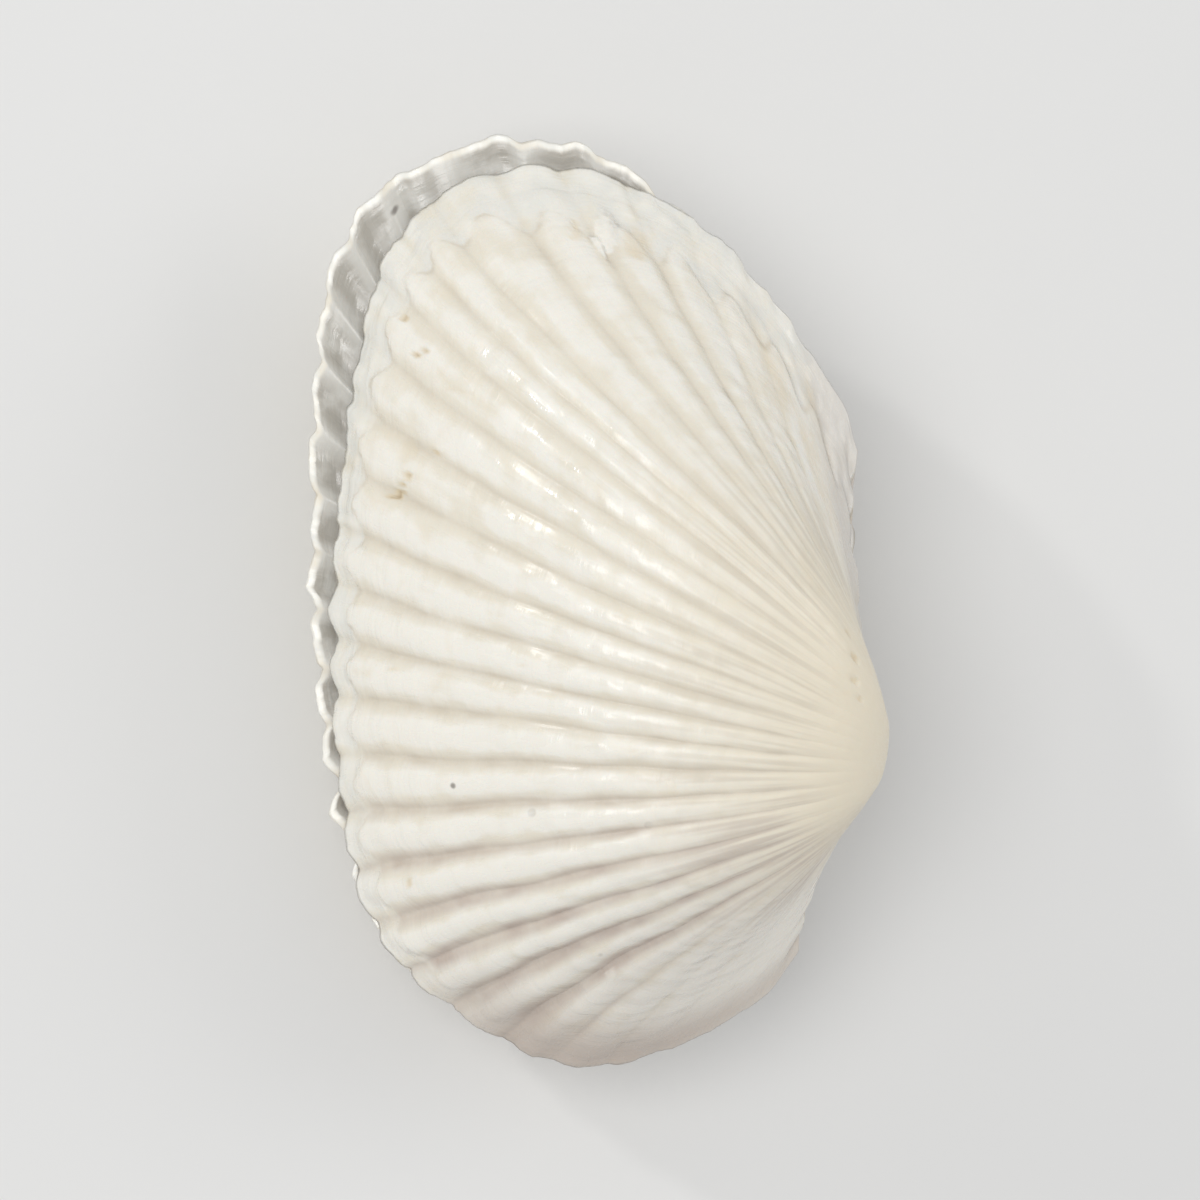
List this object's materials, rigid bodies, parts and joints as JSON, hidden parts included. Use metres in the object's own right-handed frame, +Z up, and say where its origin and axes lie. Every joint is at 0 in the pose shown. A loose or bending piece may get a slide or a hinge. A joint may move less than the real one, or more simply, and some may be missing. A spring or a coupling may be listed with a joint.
{
  "type": "ark clam shell",
  "caption": "Closed pair of ribbed ark clam valves lying on the larger one, with scalloped interlocking edges, a straight hinge line and low beaks; a natural shell for display.",
  "frame": {"origin": "on the surface the shell lies on, under the middle of its bounding box", "axes": "+Z up, +Y along the hinge towards the rear end, +X towards the hinge; the valves' meeting plane dips towards -X and -Y because the shell lies where it settles by itself"},
  "size_m": [0.037, 0.0554, 0.0264],
  "materials": {
    "upper_shell": "satin cream-white shell, a little glossy on the ribs",
    "lower_shell": "satin white shell, dull on the inner rim"
  },
  "bodies": {
    "root": {"upper_valve": "upper_shell", "lower_valve": "lower_shell"}
  },
  "joints": []
}
